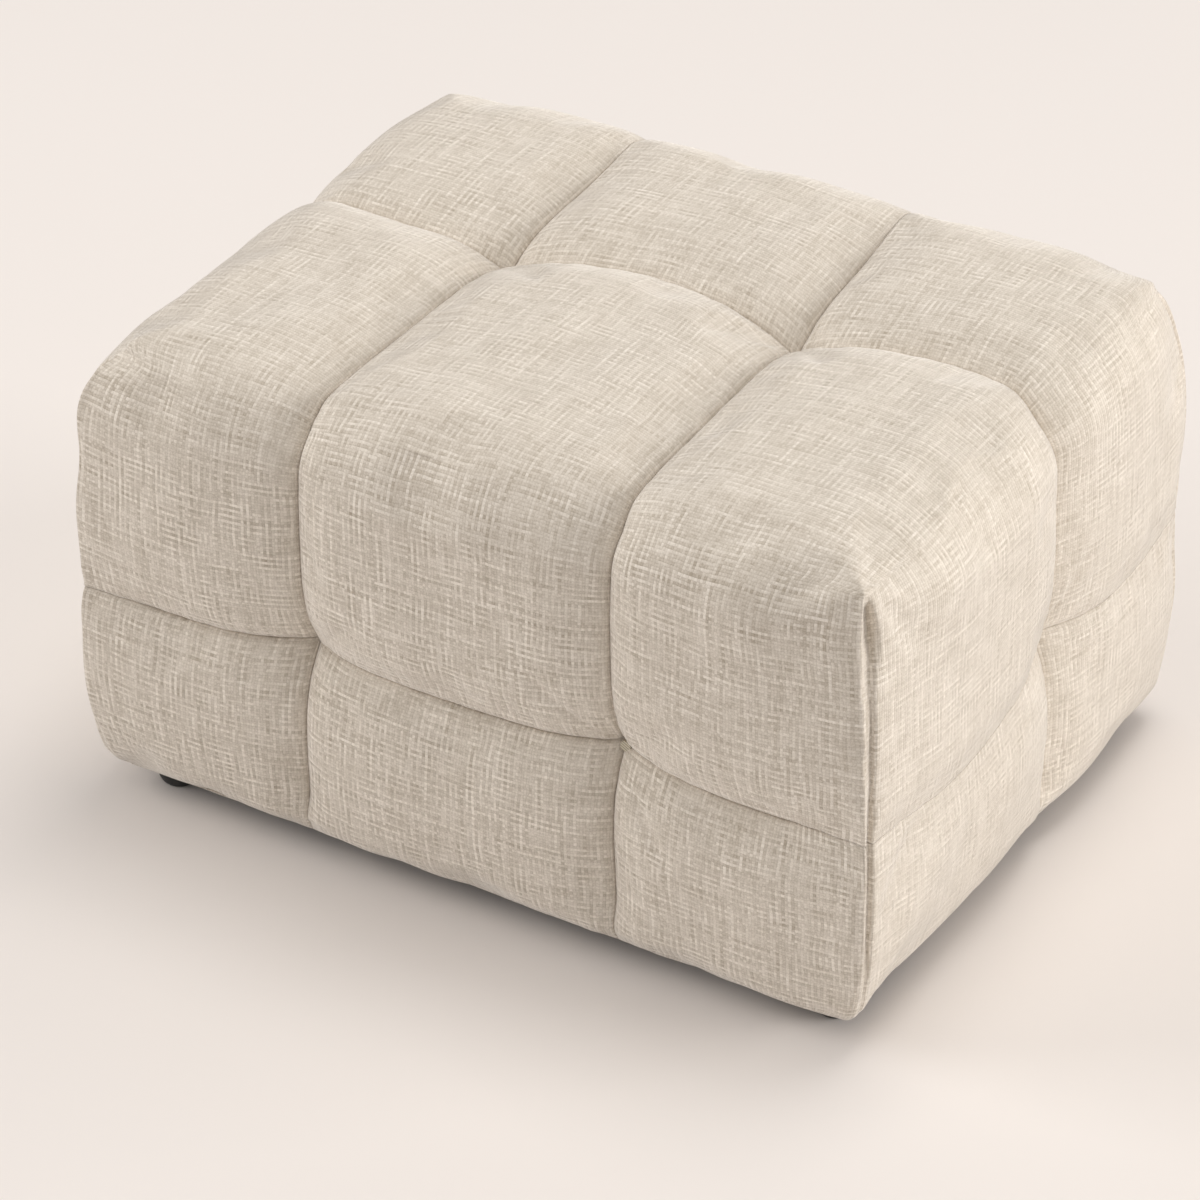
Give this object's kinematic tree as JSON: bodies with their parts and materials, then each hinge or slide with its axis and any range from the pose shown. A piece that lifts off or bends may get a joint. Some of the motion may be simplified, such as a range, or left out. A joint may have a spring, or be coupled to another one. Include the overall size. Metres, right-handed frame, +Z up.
{
  "type": "pouf",
  "caption": "Low rectangular upholstered pouf with a biscuit-tufted top and sides, puffed square cells and small round feet set in under the corners.",
  "frame": {"origin": "centre of the footprint, on the floor under the feet", "axes": "+X to the right along the long front face, +Y from the front to the back, +Z up"},
  "size_m": [0.71, 0.545, 0.42],
  "materials": {
    "cover_fabric": "undyed beige linen-look woven cloth, matt, with light and dark slubs",
    "hem_fabric": "the same woven cloth, turned under and stapled flat",
    "foam": "soft pale polyurethane foam",
    "timber": "planed softwood, unfinished",
    "plywood": "plain plywood",
    "hardboard": "thin brown hardboard",
    "dust_cloth": "black non-woven dust cloth",
    "foot_plastic": "black moulded plastic, matt",
    "tie_cord": "waxed cord with sewn-in disc and toggle"
  },
  "bodies": {
    "root": {"pad_top_front_left": "cover_fabric", "pad_top_front_middle": "cover_fabric", "pad_top_front_right": "cover_fabric", "pad_top_back_left": "cover_fabric", "pad_top_back_middle": "cover_fabric", "pad_top_back_right": "cover_fabric", "pad_low_front_left": "cover_fabric", "pad_low_front_middle": "cover_fabric", "pad_low_front_right": "cover_fabric", "pad_low_back_left": "cover_fabric", "pad_low_back_middle": "cover_fabric", "pad_low_back_right": "cover_fabric", "pad_low_left_front": "cover_fabric", "pad_low_left_back": "cover_fabric", "pad_low_right_front": "cover_fabric", "pad_low_right_back": "cover_fabric", "foam_front": "foam", "foam_back": "foam", "foam_left": "foam", "foam_right": "foam", "foam_seat": "foam", "base_plank_front": "timber", "base_plank_back": "timber", "base_plank_left": "timber", "base_plank_right": "timber", "post_front_left": "timber", "post_front_right": "timber", "post_back_left": "timber", "post_back_right": "timber", "top_rail_front": "timber", "top_rail_back": "timber", "top_rail_left": "timber", "top_rail_right": "timber", "seat_stretcher": "timber", "seat_board": "plywood", "panel_front": "hardboard", "panel_back": "hardboard", "panel_left": "hardboard", "panel_right": "hardboard", "hem_front": "hem_fabric", "hem_back": "hem_fabric", "hem_left": "hem_fabric", "hem_right": "hem_fabric", "dust_cover": "dust_cloth", "foot_front_left": "foot_plastic", "foot_front_right": "foot_plastic", "foot_back_left": "foot_plastic", "foot_back_right": "foot_plastic", "tuft_ties": "tie_cord"}
  },
  "joints": []
}
